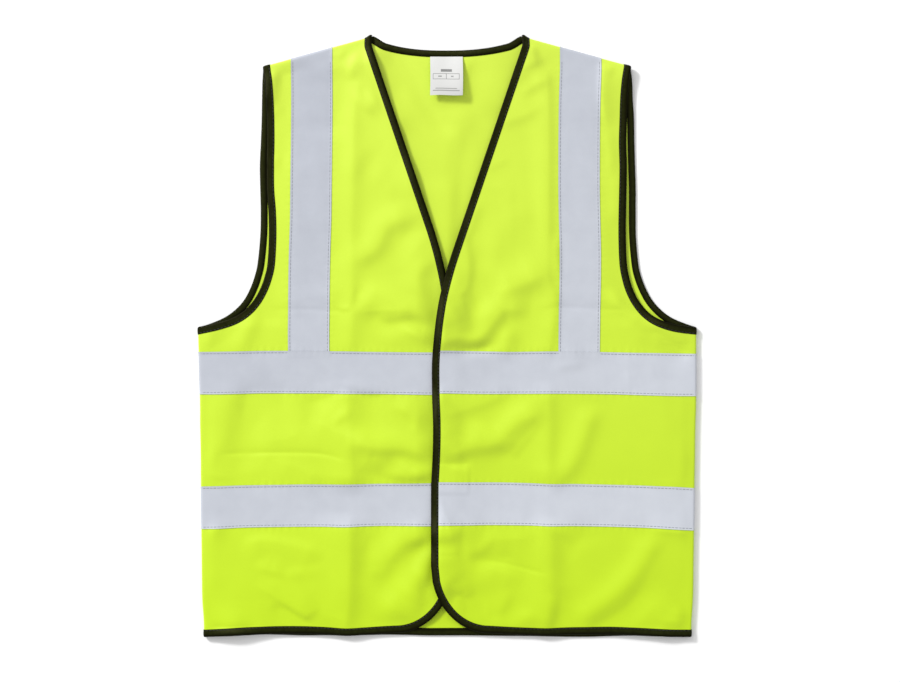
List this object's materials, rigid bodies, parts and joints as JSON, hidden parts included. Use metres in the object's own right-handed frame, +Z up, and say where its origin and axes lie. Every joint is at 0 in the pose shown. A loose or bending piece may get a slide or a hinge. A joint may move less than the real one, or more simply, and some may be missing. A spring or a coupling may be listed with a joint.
{
  "type": "safety vest",
  "caption": "Sleeveless safety vest laid flat and closed: V neck, overlapping fronts, bound edges, and reflective tape round the body and over the shoulders.",
  "frame": {"origin": "middle of the vest's width and length, on the surface that it lies on", "axes": "+X to the wearer's left, +Y from the hem to the neck, +Z up from the surface, out of the fronts"},
  "size_m": [0.5994, 0.7223, 0.0125],
  "materials": {
    "cloth": "matte fluorescent yellow knitted polyester",
    "tape": "silver-grey reflective tape with a satin face",
    "binding": "black folded woven tape with a soft sheen",
    "label_cloth": "white satin label tape"
  },
  "bodies": {
    "root": {"back_panel": "cloth", "front_panel_right": "cloth", "front_panel_left": "cloth", "band_upper_back": "tape", "band_lower_back": "tape", "band_upper_right": "tape", "band_upper_left": "tape", "band_lower_right": "tape", "band_lower_left": "tape", "brace_front_right": "tape", "brace_front_left": "tape", "brace_back_right": "tape", "brace_back_left": "tape", "edge_binding_right": "binding", "edge_binding_left": "binding", "neck_binding": "binding", "hem_binding": "binding", "armhole_binding_right": "binding", "armhole_binding_left": "binding", "label": "label_cloth"}
  },
  "joints": []
}
